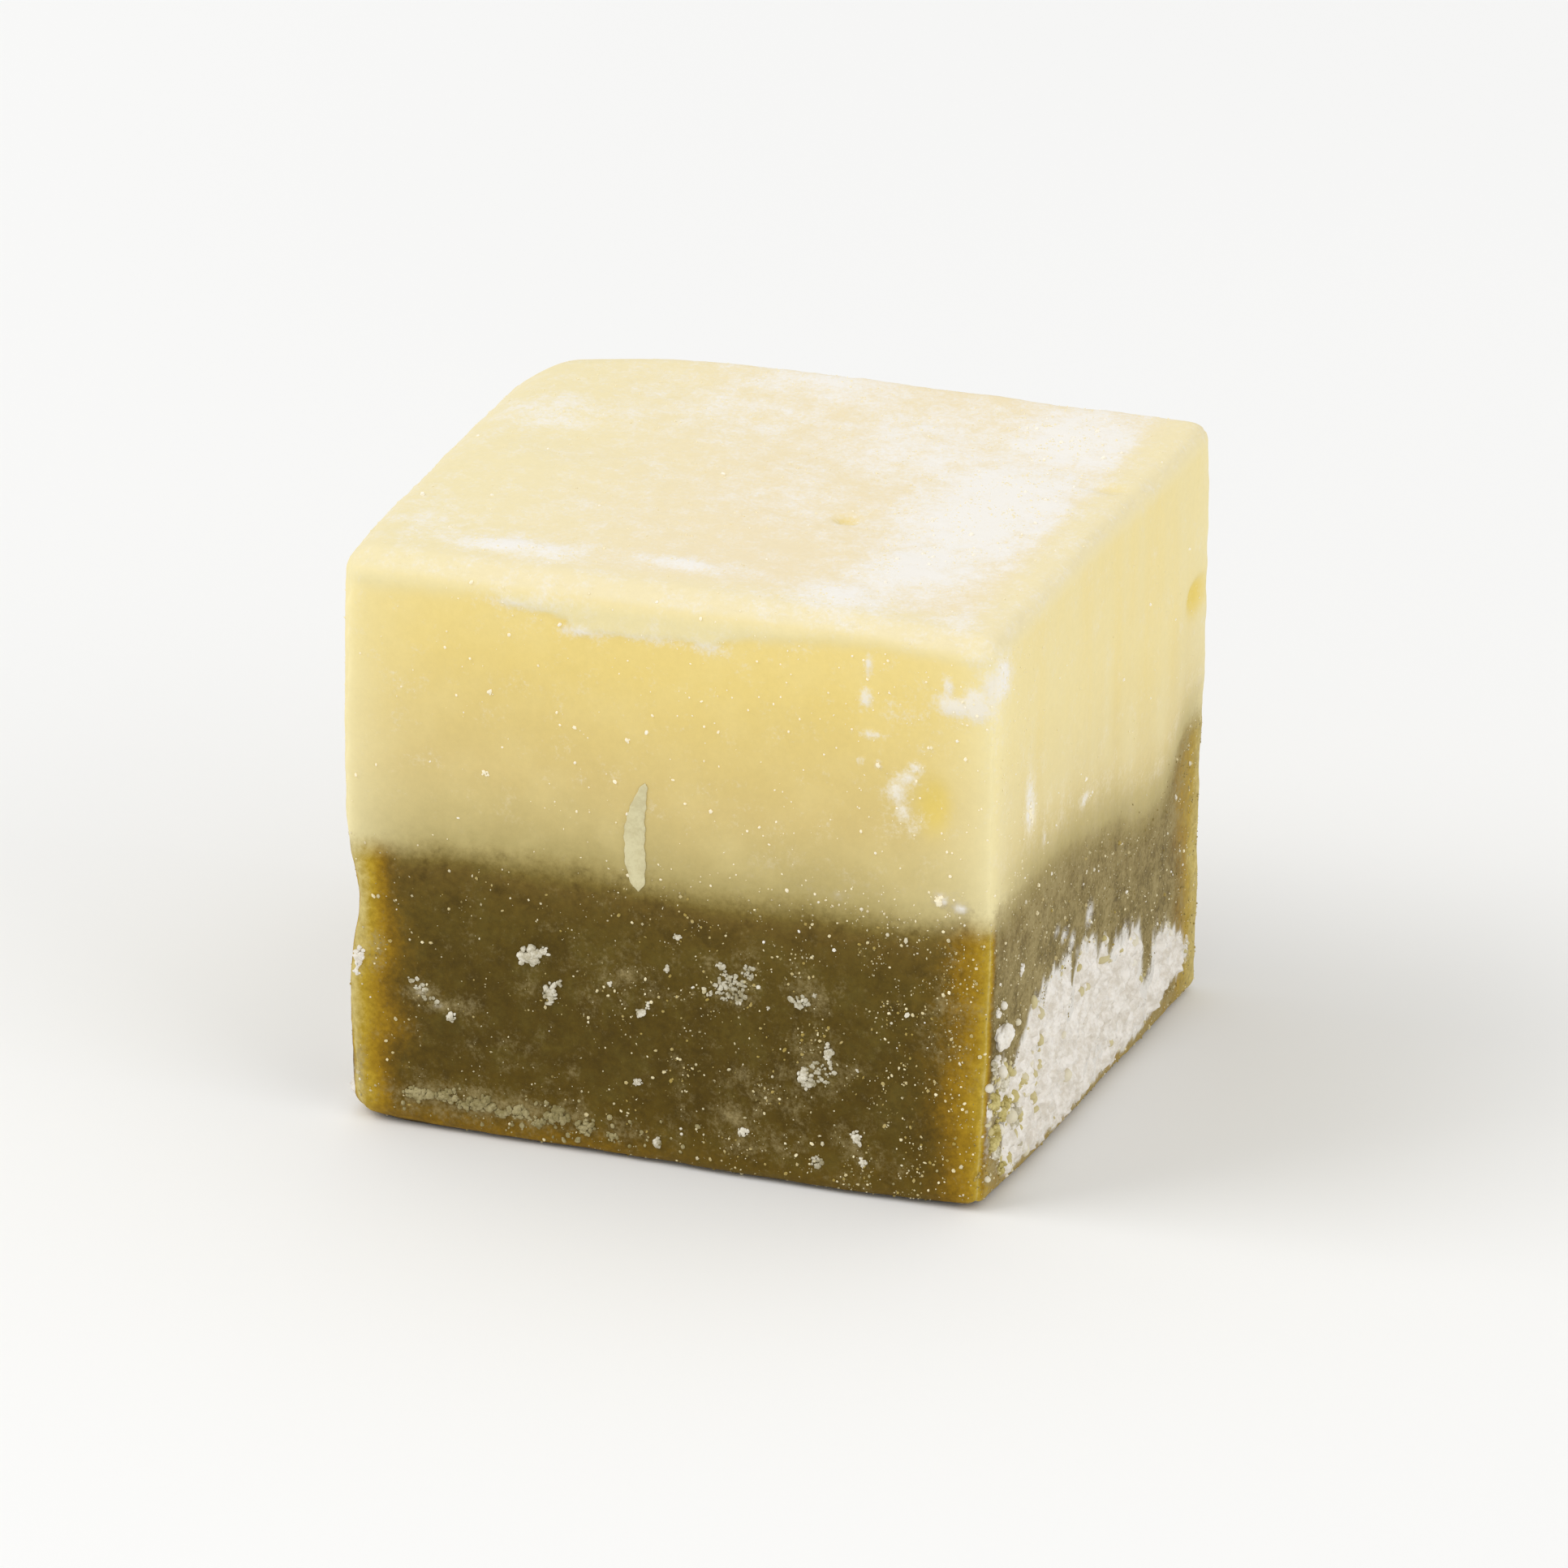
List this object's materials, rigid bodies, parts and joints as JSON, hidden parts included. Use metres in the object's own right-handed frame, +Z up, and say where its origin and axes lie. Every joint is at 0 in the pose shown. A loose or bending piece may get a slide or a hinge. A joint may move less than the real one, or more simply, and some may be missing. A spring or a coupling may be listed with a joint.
{
  "type": "hojicha nama chocolate",
  "caption": "Knife-cut cube of soft nama chocolate, a pale yellow layer over a dark roasted-tea layer, dusted with white powder; it rests on its flat bottom.",
  "frame": {"origin": "middle of the block's box at the height of its flat bottom", "axes": "+X to the right along the wide front face, +Y to the back, +Z up through both layers; the front face looks towards -Y"},
  "size_m": [0.023, 0.0196, 0.0196],
  "materials": {
    "white_chocolate_ganache": "soft satin, translucent cream-yellow with white powder",
    "hojicha_ganache": "soft satin, translucent olive-brown with amber edges and white powder"
  },
  "bodies": {
    "root": {"white_chocolate_layer": "white_chocolate_ganache", "hojicha_layer": "hojicha_ganache"}
  },
  "joints": []
}
